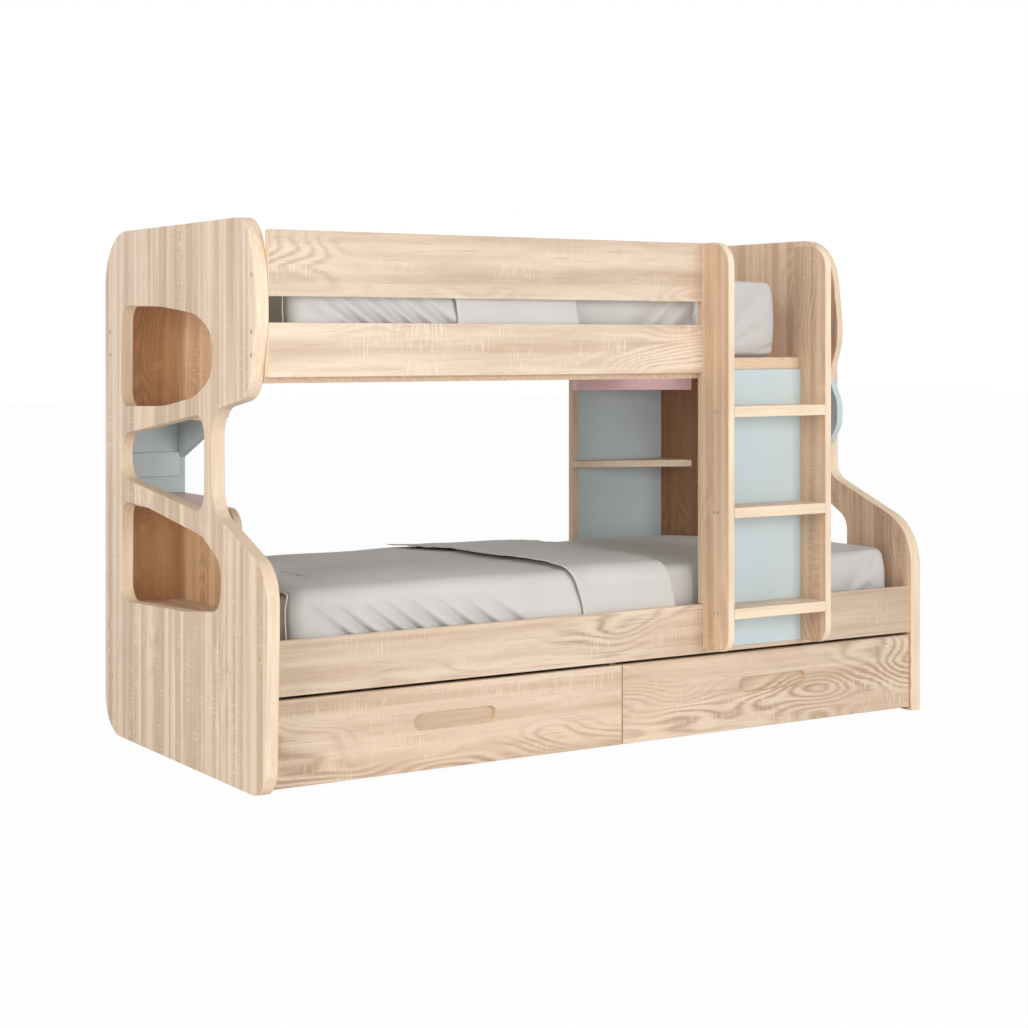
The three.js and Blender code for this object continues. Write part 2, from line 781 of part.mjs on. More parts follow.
makeEnds();
makeRails();
makeLadder();
makeLeftNiches();
makeRightCorner();
makeInnerWall();
makeRightNiches();
makeDrawers();
makeBase("lower_slat_base", endBoard, endBoard, rightInside, lowerBaseTop, middle, railBack);
const ladderRight = stepRight + board;
const platformFront = innerWallFront + innerWallNeck;
makeBase(
  "upper_slat_base",
  endBoard,
  nicheWallRight,
  innerWallLeft,
  upperBaseTop,
  ladderRight,
  platformFront,
);
const lowerFoot = lowerBaseTop + seatGap;
const upperFoot = upperBaseTop + seatGap;
const lowerBackRight = innerWallLeft - notchSideGap;
makeMattress("lower_mattress", lowerMattressRight, lowerBackRight, lowerFoot, lowerMattressHeight);
makeMattress("upper_mattress", upperMattressRight, upperMattressRight, upperFoot, upperMattressHeight);
const lowerTop = lowerFoot + lowerMattressHeight;
const upperTop = upperFoot + upperMattressHeight;
makeBlanket("lower_blanket", lowerFoldStart, lowerBlanketEnd, lowerTop, blanketRipple);
makeBlanket("upper_blanket", upperFoldStart, upperBlanketEnd, upperTop, upperRipple);

export default part;
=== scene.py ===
"""Bunk bed: oak-look boards with pale blue and pink panels, made up with grey satin bedding.

Metres, +X along the bed, +Y to the wall, +Z up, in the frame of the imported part. The boards, the
drawers and their runners are the part's own nodes, given materials here. The mattresses, the
blankets, and the small caps and bolt heads are surfaces worked out from formulas.
"""

import math

import bmesh
import bpy
import numpy as np
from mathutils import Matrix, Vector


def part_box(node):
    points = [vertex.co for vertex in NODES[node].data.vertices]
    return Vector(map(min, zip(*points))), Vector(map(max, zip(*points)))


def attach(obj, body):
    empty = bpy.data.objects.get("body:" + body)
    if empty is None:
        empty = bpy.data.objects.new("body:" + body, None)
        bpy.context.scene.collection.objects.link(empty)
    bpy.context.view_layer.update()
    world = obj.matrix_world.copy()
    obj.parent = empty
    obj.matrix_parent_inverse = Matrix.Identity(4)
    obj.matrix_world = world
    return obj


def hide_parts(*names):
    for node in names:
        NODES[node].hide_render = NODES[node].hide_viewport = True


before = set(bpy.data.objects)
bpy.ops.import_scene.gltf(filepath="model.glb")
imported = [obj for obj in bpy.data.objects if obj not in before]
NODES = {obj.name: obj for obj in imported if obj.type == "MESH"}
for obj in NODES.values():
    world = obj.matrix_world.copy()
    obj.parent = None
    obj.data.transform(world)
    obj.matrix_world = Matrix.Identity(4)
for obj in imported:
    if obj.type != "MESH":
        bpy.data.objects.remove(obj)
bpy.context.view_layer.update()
# The bed's own corner, from which its boards are measured, in the part's frame
CORNER = np.array([-1.098, -0.507, 0.0])
X, Y, Z = 0, 1, 2


# ---------------------------------------------------------------- materials
class Finish:
    """A node tree in the making: each method adds one node and gives back its output."""

    def __init__(self, name):
        self.material = bpy.data.materials.new(name)
        self.material.use_nodes = True
        self.tree = self.material.node_tree
        self.shader = next(n for n in self.tree.nodes if n.type == "BSDF_PRINCIPLED")

    def put(self, socket, value):
        if isinstance(value, bpy.types.NodeSocket):
            self.tree.links.new(value, socket)
        else:
            socket.default_value = value

    def node(self, kind, inputs=(), **settings):
        """A node with its settings, and its inputs as pairs of socket and value."""
        made = self.tree.nodes.new(kind)
        for key, value in settings.items():
            setattr(made, key, value)
        for key, value in inputs:
            self.put(made.inputs[key], value)
        return made

    def coords(self, output="Object"):
        return self.node("ShaderNodeTexCoord").outputs[output]

    def parts(self, vector):
        return self.node("ShaderNodeSeparateXYZ", [(0, vector)]).outputs

    def vector(self, x, y, z):
        return self.node("ShaderNodeCombineXYZ", [(0, x), (1, y), (2, z)]).outputs[0]

    def mapped(self, vector, scale, start=(0, 0, 0)):
        inputs = [("Vector", vector), ("Scale", scale), ("Location", start)]
        return self.node("ShaderNodeMapping", inputs).outputs[0]

    def noise(self, vector, scale=1.0, detail=2.0, roughness=0.5, distortion=0.0):
        inputs = [("Vector", vector), ("Scale", scale), ("Detail", detail)]
        inputs += [("Roughness", roughness), ("Distortion", distortion)]
        return self.node("ShaderNodeTexNoise", inputs).outputs[0]

    def wave(self, vector, scale, distortion, detail, direction):
        inputs = [("Vector", vector), ("Scale", scale), ("Distortion", distortion), ("Detail", detail)]
        return self.node("ShaderNodeTexWave", inputs, bands_direction=direction).outputs[1]

    def math(self, operation, a, b=0.0):
        return self.node("ShaderNodeMath", [(0, a), (1, b)], operation=operation).outputs[0]

    def stretch(self, value, low, high, to_low=0.0, to_high=1.0):
        inputs = [("Value", value), ("From Min", low), ("From Max", high)]
        inputs += [("To Min", to_low), ("To Max", to_high)]
        return self.node("ShaderNodeMapRange", inputs).outputs[0]

    def mix(self, share, a, b, blend="MIX"):
        a, b = ((*value, 1.0) if isinstance(value, tuple) else value for value in (a, b))
        inputs = [(0, share), (6, a), (7, b)]
        return self.node("ShaderNodeMix", inputs, data_type="RGBA", blend_type=blend).outputs[2]

    def bump(self, height, strength, distance):
        inputs = [("Strength", strength), ("Distance", distance), ("Height", height)]
        self.put(self.shader.inputs["Normal"], self.node("ShaderNodeBump", inputs).outputs[0])

    def set(self, **values):
        names = {
            "color": "Base Color",
            "roughness": "Roughness",
            "metallic": "Metallic",
            "specular": "Specular IOR Level",
            "sheen": "Sheen Weight",
            "sheen_roughness": "Sheen Roughness",
        }
        for key, value in values.items():
            if isinstance(value, tuple):
                value = (*value, 1.0)
            self.put(self.shader.inputs[names[key]], value)
        return self.material


# The laminate's tones, from the palest streak to the deepest growth line, and its edge band's
OAK_CREAM = (0.83, 0.695, 0.56)
OAK_LIGHT = (0.735, 0.59, 0.455)
OAK_MIDDLE = (0.53, 0.385, 0.275)
OAK_DARK = (0.40, 0.275, 0.19)
OAK_BAND = (0.84, 0.69, 0.52)
OAK_BAND_LINE = (0.64, 0.47, 0.33)
# The pattern's layers. Each: its changes in a metre along the grain, across it and through the
# board, then the noise's detail and roughness, and where it starts
STAVES = (0.5, 31, 0.5), 1.0, 0.5, (0, 0, 0)
SLOW_BANDS = (1.2, 11, 4), 3.0, 0.6, (0, 0, 0)
FIBRES = (3.5, 150, 150), 4.0, 0.65, (0, 0, 0)
PORES = (26, 620, 620), 3.0, 0.7, (0, 0, 0)
BUMPS = (2.3, 7.5, 2), 1.0, 0.4, (0, 0, 0)
FIGURED_PLACES = (1.7, 5.5, 2), 1.5, 0.5, (3.1, 1.3, 0)
DARK_DASHES = (7, 190, 40), 2.0, 0.5, (1.7, 0.4, 0)
SAW_MARKS = (165, 20, 20), 1.5, 0.6, (0, 0, 0)
SAWN_PLACES = (5.5, 12, 6), 2.0, 0.6, (7, 2, 0)
# Growth lines: how many a metre's climb across the board gives, how many a bump adds, and how much
# of one the fibres shift them
LINES_IN_A_METRE = 26.0
LINES_ON_A_BUMP = 17.0
LINE_SHIFT = 0.8
# How much of each layer is mixed in where it is strongest
FIBRE_SHARE = 0.36
PORE_SHARE = 0.3
DASH_SHARE = 0.34
SAW_SHARE = 0.6
BAND_LINE_SHARE = 0.62


def oak_board(name, grain, face, shift, tint, figure, streaks):
    """Sawn-oak laminate. Along the grain the pattern is stretched about fifty times: bands of tone
    like glued staves, fine fibres, and growth lines, the level lines of a height that climbs across
    the board and bulges round slow bumps, so they draw flames and eyes. Short pale saw marks run
    across the grain in patches. The board's narrow sides carry a paler edge band."""
    finish = Finish(name)
    place = finish.parts(finish.coords())
    across = 3 - grain - face
    board = finish.mapped(finish.vector(place[grain], place[across], place[face]), (1, 1, 1), shift)
    board_parts = finish.parts(board)

    def layer(kind, distortion=0.0):
        scale, detail, roughness, start = kind
        return finish.noise(finish.mapped(board, scale, start), 1.0, detail, roughness, distortion)

    stave, slow, fibre, pores = layer(STAVES), layer(SLOW_BANDS, 0.3), layer(FIBRES), layer(PORES)
    slow_part = finish.stretch(slow, 0.36, 0.64, 0.0, 1 - streaks)
    tone = finish.math("ADD", slow_part, finish.stretch(stave, 0.42, 0.58, 0.0, streaks))
    color = finish.mix(tone, OAK_MIDDLE, OAK_CREAM)
    color = finish.mix(finish.stretch(fibre, 0.36, 0.64, 0.0, FIBRE_SHARE), color, OAK_LIGHT)

    climb = finish.math("MULTIPLY", board_parts[1], LINES_IN_A_METRE)
    climb = finish.math("ADD", climb, finish.math("MULTIPLY", layer(BUMPS), LINES_ON_A_BUMP))
    climb = finish.math("ADD", climb, finish.math("MULTIPLY", fibre, LINE_SHIFT))
    line = finish.math("SINE", finish.math("MULTIPLY", climb, 2 * math.pi))
    shown = finish.stretch(layer(FIGURED_PLACES), 0.5, 0.66, 0.0, figure)
    dark_line = finish.math("MULTIPLY", finish.stretch(line, 0.1, 1.0), shown)
    color = finish.mix(dark_line, color, OAK_DARK)
    pale_line = finish.math("MULTIPLY", finish.stretch(line, -0.2, -1.0), shown)
    color = finish.mix(pale_line, color, OAK_CREAM)

    color = finish.mix(finish.stretch(pores, 0.54, 0.72, 0.0, PORE_SHARE), color, OAK_DARK)
    color = finish.mix(finish.stretch(layer(DARK_DASHES), 0.6, 0.72, 0.0, DASH_SHARE), color, OAK_DARK)

    saw = layer(SAW_MARKS)
    sawn = finish.stretch(layer(SAWN_PLACES), 0.5, 0.66)
    pale_mark = finish.math("MULTIPLY", finish.stretch(saw, 0.5, 0.66, 0.0, SAW_SHARE), sawn)
    color = finish.mix(pale_mark, color, OAK_CREAM)
    color = finish.mix(1.0, color, tint, "MULTIPLY")

    normal = finish.parts(finish.coords("Normal"))
    side = finish.stretch(finish.math("ABSOLUTE", normal[face]), 0.55, 0.75, 1.0, 0.0)
    slow_lines = finish.noise(finish.mapped(finish.coords(), (4, 4, 4)), 1.0, 1.0)
    band_line = finish.stretch(finish.math("ADD", fibre, slow_lines), 0.8, 1.2, 0.0, BAND_LINE_SHARE)
    color = finish.mix(side, color, finish.mix(band_line, OAK_BAND, OAK_BAND_LINE))

    finish.bump(finish.math("ADD", pores, finish.math("MULTIPLY", saw, 0.4)), 0.1, 0.0005)
    rough = finish.stretch(fibre, 0.3, 0.7, 0.5, 0.62)
    return finish.set(color=color, roughness=rough, specular=0.3)


def plain_laminate(name, color, second):
    """Plain coloured laminate: one tone with a very slight mottle and a fine pearl surface."""
    finish = Finish(name)
    mottle = finish.noise(finish.coords(), 7.0, 3.0, 0.6)
    pearl = finish.noise(finish.coords(), 900.0, 2.0, 0.6)
    tint = finish.mix(finish.stretch(mottle, 0.3, 0.7), color, second)
    finish.bump(pearl, 0.08, 0.0003)
    rough = finish.stretch(mottle, 0.3, 0.7, 0.42, 0.5)
    return finish.set(color=tint, roughness=rough, specular=0.4)


def satin(name, color, dark):
    """Grey cotton satin: crossed fine threads read from the cloth's own map, about 1300 in a metre,
    a soft sheen and a slight change of tone from place to place."""
    weave_scale = 420.0
    finish = Finish(name)
    cloth = finish.coords("UV")
    warp = finish.wave(cloth, weave_scale, 0.6, 1.0, "X")
    weft = finish.wave(cloth, weave_scale, 0.6, 1.0, "Y")
    thread = finish.math("ADD", finish.math("MULTIPLY", warp, 0.5), finish.math("MULTIPLY", weft, 0.5))
    cloud = finish.noise(finish.coords(), 5.0, 3.0, 0.55)
    tint = finish.mix(finish.stretch(cloud, 0.3, 0.7), color, dark)
    tint = finish.mix(finish.stretch(thread, 0.2, 0.9, 0.0, 0.08), tint, dark)
    finish.bump(thread, 0.1, 0.0003)
    return finish.set(color=tint, roughness=0.55, specular=0.25, sheen=0.08, sheen_roughness=0.4)


def pine_slat(name):
    """Planed pine, its grain along Y: long streaks of a lighter and a darker tone."""
    finish = Finish(name)
    grain = finish.noise(finish.mapped(finish.coords(), (90, 3, 90)), 1.0, 4.0, 0.6)
    color = finish.mix(finish.stretch(grain, 0.3, 0.7), (0.66, 0.49, 0.35), (0.5, 0.35, 0.24))
    finish.bump(grain, 0.1, 0.0005)
    return finish.set(color=color, roughness=0.62)


def runner_steel(name):
    """Zinc-coated steel, its gloss streaked by rolling."""
    finish = Finish(name)
    streak = finish.noise(finish.mapped(finish.coords(), (60, 6, 600)), 1.0, 3.0, 0.6)
    rough = finish.stretch(streak, 0.3, 0.7, 0.28, 0.42)
    return finish.set(color=(0.58, 0.59, 0.6), roughness=rough, metallic=1.0)


def small_fitting(name, color, roughness, metallic=0.0):
    """One colour with a very fine grain, for caps, bolt heads and piping."""
    finish = Finish(name)
    grain = finish.noise(finish.coords(), 500.0, 2.0)
    finish.bump(grain, 0.05, 0.0002)
    rough = finish.stretch(grain, 0.3, 0.7, roughness, roughness + 0.06)
    return finish.set(color=color, roughness=rough, metallic=metallic)


def wear(node, material):
    """Gives a node of the part its material."""
    mesh = NODES[node].data
    mesh.materials.clear()
    mesh.materials.append(material)


# Tints, by which a board's colour is multiplied
PLAIN = (1.0, 1.0, 1.0)
# Painted shade: a darker, warmer tone on the ladder's stiles and the entry rail
AMBER_PAINTED_SHADE = (0.94, 0.85, 0.76)
# Painted shade: the corner wall's deep warm shadow inside the corner unit
DARK_PAINTED_SHADE = (0.5, 0.32, 0.21)
# Painted warm bounce light on the upper niche's back and wall, lighter and redder than the plain board
NICHE_BACK_PAINTED_LIGHT = (1.12, 0.89, 0.68)
NICHE_WALL_PAINTED_LIGHT = (1.06, 0.92, 0.78)
# Painted warm shade on the lower niche's back and wall, under the upper bed
LOW_NICHE_BACK_PAINTED_SHADE = (0.95, 0.74, 0.5)
LOW_NICHE_WALL_PAINTED_SHADE = (0.9, 0.76, 0.57)
# Painted light: brightens and warms the inner wall and the right end panel, which get little lamp light
END_WALL_PAINTED_LIGHT = (1.2, 1.08, 0.99)
SOFT = (0.92, 0.925, 0.925)
RAIL = (0.885, 0.86, 0.835)
DRAWER = (0.92, 0.895, 0.86)
# Each oak node: its grain's direction, the direction of its thickness, its tint, how bold its
# figure is, and how much of its tone comes from the staves
OAK_NODES = {
    "left_end_panel": (Z, X, PLAIN, 0.25, 0.75),
    "right_end_panel": (Z, X, END_WALL_PAINTED_LIGHT, 0.3, 0.6),
    "guard_rail": (X, Y, SOFT, 0.5, 0.25),
    "upper_side_rail": (X, Y, PLAIN, 0.4, 0.25),
    "lower_side_rail": (X, Y, RAIL, 0.72, 0.36),
    "upper_back_rail": (X, Y, PLAIN, 0.4, 0.25),
    "lower_back_rail": (X, Y, PLAIN, 0.4, 0.25),
    "ladder_left_stile": (Z, X, AMBER_PAINTED_SHADE, 0.45, 0.5),
    "ladder_right_stile": (Z, X, AMBER_PAINTED_SHADE, 0.45, 0.5),
    "ladder_step_1": (X, Z, PLAIN, 0.3, 0.3),
    "ladder_step_2": (X, Z, PLAIN, 0.3, 0.3),
    "ladder_step_3": (X, Z, PLAIN, 0.3, 0.3),
    "entry_rail": (X, Y, AMBER_PAINTED_SHADE, 0.4, 0.3),
    "lower_niche_floor": (Y, Z, PLAIN, 0.2, 0.4),
    "upper_niche_floor": (Y, Z, PLAIN, 0.2, 0.4),
    "upper_niche_top": (Y, Z, PLAIN, 0.2, 0.4),
    "lower_niche_wall": (Z, X, LOW_NICHE_WALL_PAINTED_SHADE, 0.3, 0.4),
    "upper_niche_wall": (Z, X, NICHE_WALL_PAINTED_LIGHT, 0.3, 0.4),
    "lower_niche_back": (Z, Y, LOW_NICHE_BACK_PAINTED_SHADE, 0.3, 0.4),
    "upper_niche_back": (Z, Y, NICHE_BACK_PAINTED_LIGHT, 0.3, 0.4),
    "corner_shelf": (X, Z, PLAIN, 0.3, 0.3),
    "corner_side": (Z, X, PLAIN, 0.3, 0.3),
    "inner_wall": (Z, X, END_WALL_PAINTED_LIGHT, 0.35, 0.6),
    "corner_wall": (Z, X, DARK_PAINTED_SHADE, 0.4, 0.4),
    "right_lower_niche_floor": (Y, Z, PLAIN, 0.2, 0.4),
    "right_upper_niche_floor": (Y, Z, PLAIN, 0.2, 0.4),
    "right_niche_back": (Z, Y, PLAIN, 0.3, 0.4),
    "centre_divider": (Y, X, PLAIN, 0.3, 0.3),
}
for side in ("left", "right"):
    OAK_NODES[side + "_drawer_front"] = (X, Y, DRAWER, 0.7, 0.36)
    OAK_NODES[side + "_drawer_left_side"] = (Y, X, PLAIN, 0.3, 0.3)
    OAK_NODES[side + "_drawer_right_side"] = (Y, X, PLAIN, 0.3, 0.3)
    OAK_NODES[side + "_drawer_back"] = (X, Y, PLAIN, 0.3, 0.3)
    OAK_NODES[side + "_drawer_bottom"] = (X, Z, PLAIN, 0.3, 0.3)
# How far the pattern is moved from each board to the next, along the grain, across and through
NEXT_BOARD = (1.37, 0.61, 0.0)
for count, (node, (grain, face, tint, figure, streaks)) in enumerate(OAK_NODES.items()):
    shift = tuple(step * count for step in NEXT_BOARD)
    wear(node, oak_board("oak_" + node, grain, face, shift, tint, figure, streaks))

BLUE_NODES = (
    "ladder_back_panel", "middle_niche_back", "middle_niche_valance", "corner_back", "blue_side_wall",
)
blue = plain_laminate("pale_blue_laminate", (0.575, 0.665, 0.69), (0.545, 0.64, 0.665))
pink = plain_laminate("dusty_pink_laminate", (0.76, 0.50, 0.49), (0.73, 0.475, 0.465))
for node in BLUE_NODES:
    wear(node, blue)
for node in ("middle_niche_floor", "right_middle_niche_floor"):
    wear(node, pink)
# The corner top is the dusty pink made paler: painted light against the shade under the upper bed
wear("corner_top", plain_laminate("pink_laminate_painted_light", (0.99, 0.65, 0.67), (0.96, 0.625, 0.645)))
wear("lower_slat_base", pine_slat("planed_pine"))
wear("upper_slat_base", pine_slat("planed_pine_upper"))
steel = runner_steel("zinc_steel")
for side in ("left", "right"):
    for end in ("left", "right"):
        wear(f"{side}_fixed_runner_{end}", steel)
        wear(f"{side}_moving_runner_{end}", steel)

sheet_satin = satin("grey_sheet_satin", (0.61, 0.595, 0.58), (0.57, 0.555, 0.54))
blanket_satin = satin("grey_blanket_satin", (0.595, 0.582, 0.57), (0.56, 0.546, 0.533))
cap_wood = small_fitting("cover_cap", (0.52, 0.36, 0.22), 0.45)
bolt_grey = small_fitting("bolt_head", (0.5, 0.5, 0.5), 0.35, 0.8)
piping = small_fitting("piping_cord", (0.72, 0.69, 0.67), 0.6)


# ------------------------------------------------------------------- meshes
def box_of(node):
    """A node's lowest and highest corners."""
    return tuple(np.array(corner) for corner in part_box(node))


def along_bed(*places):
    """Places along the bed, each given from the bed's corner."""
    return tuple(CORNER[0] + place for place in places)


def piece(name, points, faces, material, uv=None, smooth=True):
    """A mesh object at the origin, from an array of points and a list of faces; uv gives each
    point's place on the cloth."""
    mesh = bpy.data.meshes.new(name)
    mesh.from_pydata(np.asarray(points, dtype=float).tolist(), [], faces)
    mesh.materials.append(material)
    if smooth:
        mesh.polygons.foreach_set("use_smooth", np.ones(len(mesh.polygons), dtype=bool))
    if uv is not None:
        layer = mesh.uv_layers.new(name="UVMap")
        loops = np.empty(len(mesh.loops), dtype=np.int32)
        mesh.loops.foreach_get("vertex_index", loops)
        layer.data.foreach_set("uv", np.asarray(uv, dtype=np.float32)[loops].ravel())
    mesh.update()
    made = bpy.data.objects.new(name, mesh)
    bpy.context.scene.collection.objects.link(made)
    return made


def grid_faces(rows, columns, around=False):
    """Four-sided faces of a grid of rows by columns of points; around joins the last column to the
    first."""
    i = np.arange(rows - 1)[:, None] * columns
    j = np.arange(columns if around else columns - 1)[None, :]
    k = (j + 1) % columns
    return np.stack([i + j, i + k, i + columns + k, i + columns + j], axis=-1).reshape(-1, 4)


def capped_rings(name, rings, material, smooth):
    """A closed skin over rings of points: each ring is joined to the next, a flat cap closes each
    end, and every face is turned outward."""
    count, sides = rings.shape[:2]
    faces = grid_faces(count, sides, around=True).tolist()
    faces.append(list(range(sides - 1, -1, -1)))
    faces.append(list(range((count - 1) * sides, count * sides)))
    made = piece(name, rings.reshape(-1, 3), faces, material, smooth=smooth)
    work = bmesh.new()
    work.from_mesh(made.data)
    bmesh.ops.recalc_face_normals(work, faces=work.faces)
    work.to_mesh(made.data)
    work.free()
    return made


def tube(name, path, radius, sides, material):
    """A round cord along a path: at each point a ring of the radius, square to the path, in a frame
    carried from point to point."""
    path = np.asarray(path, dtype=float)
    tangent = np.gradient(path, axis=0)
    tangent /= np.linalg.norm(tangent, axis=1)[:, None]
    first = np.cross(tangent, [1.0, 0.0, 0.0])
    first /= np.linalg.norm(first, axis=1)[:, None]
    second = np.cross(tangent, first)
    angle = np.linspace(0, 2 * math.pi, sides, endpoint=False)
    cos, sin = np.cos(angle)[None, :, None], np.sin(angle)[None, :, None]
    rings = path[:, None] + radius * (cos * first[:, None] + sin * second[:, None])
    return capped_rings(name, rings, material, smooth=True)


def disc(name, centre, axis, radius, depth, material):
    """A flat round head with an eased rim, fixed to the frame: four rings round its axis, each with
    its share of the radius and its height along the axis."""
    sides = 20
    sunk = -0.001
    ring_r = radius * np.array([0.82, 1.0, 1.0, 0.9])
    ring_h = np.array([depth, depth * 0.75, 0.0, sunk])
    angle = np.linspace(0, 2 * math.pi, sides, endpoint=False)
    axis = np.asarray(axis, dtype=float)
    across = np.array([0.0, 0.0, 1.0])
    other = np.cross(axis, across)
    rim = np.cos(angle)[:, None] * other + np.sin(angle)[:, None] * across
    rings = np.asarray(centre) + ring_r[:, None, None] * rim[None] + ring_h[:, None, None] * axis
    made = capped_rings(name, rings, material, smooth=False)
    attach(made, "frame")
    return made


def plan_outline(corners, step):
    """A closed plan through corners [x, y, radius]: straight between them, an arc of the radius at
    each. The whole is then cut into equal steps."""
    corners = np.asarray(corners, dtype=float)
    arc_points = 12
    runs = []
    count = len(corners)
    for i in range(count):
        here = corners[i, :2]
        back = corners[i - 1, :2] - here
        ahead = corners[(i + 1) % count, :2] - here
        back /= np.linalg.norm(back)
        ahead /= np.linalg.norm(ahead)
        half = math.acos(np.clip(back @ ahead, -1, 1)) / 2
        length = corners[i, 2] / math.tan(half)
        middle = here + (back + ahead) / np.linalg.norm(back + ahead) * corners[i, 2] / math.sin(half)
        first = here + back * length - middle
        sweep = math.pi - 2 * half
        turn = math.copysign(sweep, ahead[0] * back[1] - ahead[1] * back[0])
        angles = np.linspace(0, turn, arc_points)
        cos, sin = np.cos(angles), np.sin(angles)
        arc = np.stack([cos * first[0] - sin * first[1], sin * first[0] + cos * first[1]], axis=1)
        runs.append(middle + arc)
    loop = np.concatenate(runs)
    closed = np.vstack([loop, loop[:1]])
    along = np.concatenate([[0], np.cumsum(np.linalg.norm(np.diff(closed, axis=0), axis=1))])
    samples = np.linspace(0, along[-1], int(along[-1] / step), endpoint=False)
    return np.stack([np.interp(samples, along, closed[:, axis]) for axis in (X, Y)], axis=1)


def ripple(x, y, seed, terms, low, high):
    """A smooth random surface: a sum of plane sine waves with wave lengths between low and high."""
    rng = np.random.default_rng(seed)
    total = np.zeros(np.broadcast(x, y).shape)
    for _ in range(terms):
        angle = rng.uniform(0, math.pi)
        length = rng.uniform(low, high)
        phase = rng.uniform(0, 2 * math.pi)
        total = total + np.sin(2 * math.pi * (x * math.cos(angle) + y * math.sin(angle)) / length + phase)
    return total / math.sqrt(terms)


# --------------------------------------------------------------- mattresses
# Plan, from the bed's corner: the left end, and the notch round the shelves, from whose corner the
# plan runs obliquely to the back of the left end. The part before the notch ends at FRONT_PART_BACK.
# The front lies inside the solid's by the set-back, because the blanket hangs there
MATTRESS_LEFT = 0.1
LEFT_END_BACK = 0.46
NOTCH_X = 0.25
NOTCH_Y = 0.62
FRONT_PART_BACK = 0.45
MATTRESS_SET_BACK = 0.011
PLAN_ROUND = 0.05
PLAN_STEP = 0.009
# Profile, going up: a foot that tapers in, a wall that swells between its two seams, and a quarter
# circle at the top edge. The rows are counts of points
EDGE_ROUND = 0.027
FOOT_TAPER = 0.026
WALL_SWELL = 0.007
FOOT_ROWS, WALL_ROWS, EDGE_ROWS, LID_ROWS = 3, 41, 6, 25
# The sheet's ripple: its height, how far it is sunk in such heights, the climb over which it sets
# in, and its waves: their number and their shortest and longest length
RIPPLE_HEIGHT, RIPPLE_SUNK, RIPPLE_CLIMB = 0.0014, 1.2, 0.02
RIPPLE_WAVES = (7, 0.16, 0.6)
# The fall of the bedding's top to its sides: where it sets in, measured from the bed's corner, how
# far it reaches and how deep it gets. At the front the depth is each bed's own
FRONT_FALL_END, FRONT_FALL_REACH = 0.1, 0.2
BACK_FALL_START, BACK_FALL_REACH, BACK_FALL = 0.5, 0.47, 0.019
LEFT_FALL_START, LEFT_FALL_REACH, LEFT_FALL = 0.168, 0.06, 0.034
# Creases of the tucked sheet at the right front corner. Each: its start and end, as the way along
# the wall from the corner and the height; then its depth and its width
CREASES = [
    ((-0.375, 0.195), (-0.53, 0.045), 0.011, 0.032),
    ((-0.315, 0.185), (-0.47, 0.045), 0.011, 0.03),
    ((-0.235, 0.185), (-0.39, 0.04), 0.014, 0.03),
    ((-0.02, 0.215), (-0.2, 0.04), 0.012, 0.036),
    ((-0.07, 0.088), (-0.16, 0.035), 0.009, 0.022),
    ((0.01, 0.034), (-0.1, 0.0), 0.009, 0.013),
]
# How wide a crease is on its narrow side, as a share of its width, and how fast it fades in and out
# along its length
NARROW_SIDE = 0.3
FADE_IN, FADE_OUT = 5, 4


def fall(x, y, front_fall):
    """How far the bedding's top lies below its level. At the front edge it is front_fall, which fades
    by a sine; behind the middle of the bed, and at the left end, it grows by a square law."""
    front = CORNER[1] + FRONT_FALL_END
    ahead = front_fall * (1 - np.sin(np.clip((y - front) / FRONT_FALL_REACH, 0, 1) * math.pi / 2))
    behind = BACK_FALL * np.clip((y - CORNER[1] - BACK_FALL_START) / BACK_FALL_REACH, 0, 1.05) ** 2
    left = LEFT_FALL * np.clip((CORNER[0] + LEFT_FALL_START - x) / LEFT_FALL_REACH, 0, 1) ** 2
    return ahead + behind + left


def creases(x, y, z, right, front, bottom):
    """How far a mattress wall is drawn in near its right front corner. Each crease is a straight line
    in the wall. Across it the depth is a bell, wide below the line and narrow above it, so that the
    cloth sinks slowly to the crease and comes out at once; both ends of the crease fade."""
    run = (x - right) + (y - front)
    up = z - bottom
    total = np.zeros_like(x)
    for start, end, depth, width in CREASES:
        along = np.array(end) - np.array(start)
        length = math.hypot(*along)
        along = along / length
        dx, dz = run - start[0], up - start[1]
        t = (dx * along[0] + dz * along[1]) / length
        off = dx * along[1] - dz * along[0]
        bell = np.exp(-(off / np.where(off > 0, width, width * NARROW_SIDE)) ** 2)
        total += depth * bell * np.clip(t * FADE_IN, 0, 1) * np.clip((1 - t) * FADE_OUT, 0, 1)
    return total


def mattress_plan(right, back_right, front, back):
    """The closed plan of a mattress: notched round the shelves at its back left corner and, where
    back_right lies left of right, round the corner unit at its back right one."""
    left = CORNER[0] + MATTRESS_LEFT
    notch_x, notch_y = CORNER[0] + NOTCH_X, CORNER[1] + NOTCH_Y
    corners = [[left, front], [right, front]]
    if back_right < right:
        corners += [[right, notch_y], [back_right, notch_y]]
    corners += [[back_right, back], [notch_x, back], [notch_x, notch_y]]
    corners += [[left, CORNER[1] + LEFT_END_BACK]]
    return plan_outline([[x, y, PLAN_ROUND] for x, y in corners], PLAN_STEP)


